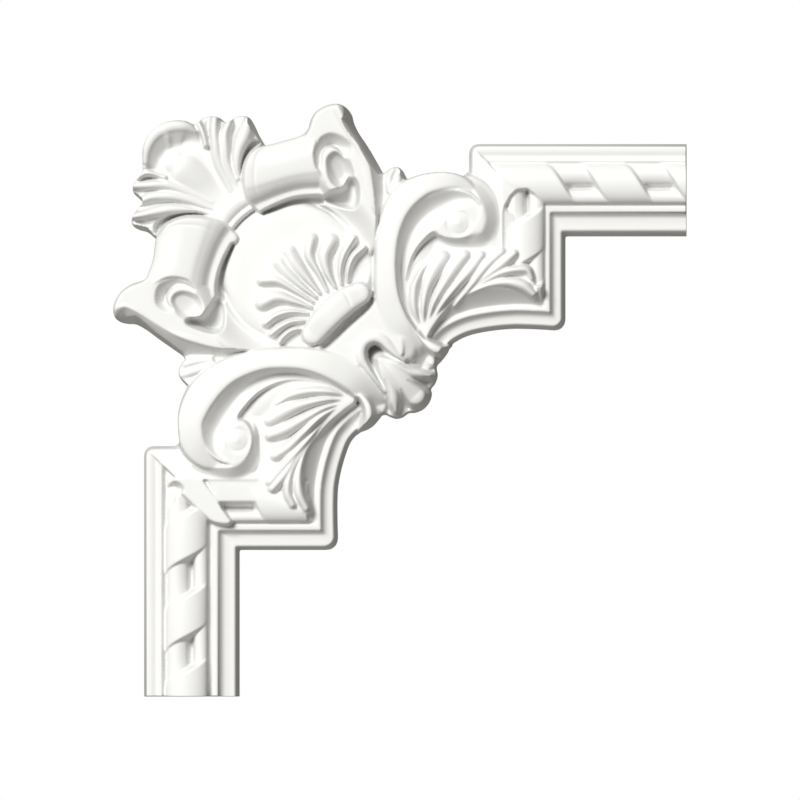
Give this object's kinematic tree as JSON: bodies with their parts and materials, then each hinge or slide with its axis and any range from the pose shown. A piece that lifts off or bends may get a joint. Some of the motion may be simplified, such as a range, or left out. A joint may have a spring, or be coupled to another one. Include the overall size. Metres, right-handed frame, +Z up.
{
  "type": "corner ornament",
  "caption": "Carved corner ornament for wall panel mouldings: shell, rolled straps, shield with palmette, acanthus scrolls and two mitred rope-moulded arms, flat back.",
  "frame": {"origin": "on the flat back, behind the lower middle of the round shield, where the casting is glued to the wall", "axes": "+X to the right along the upper arm, +Z up, +Y into the wall; the carving faces -Y"},
  "size_m": [0.2867, 0.033, 0.2964],
  "materials": {
    "white_polyurethane": "factory-primed white, satin-matt, ready to paint"
  },
  "bodies": {
    "root": {"corner_ornament": "white_polyurethane"}
  },
  "joints": []
}
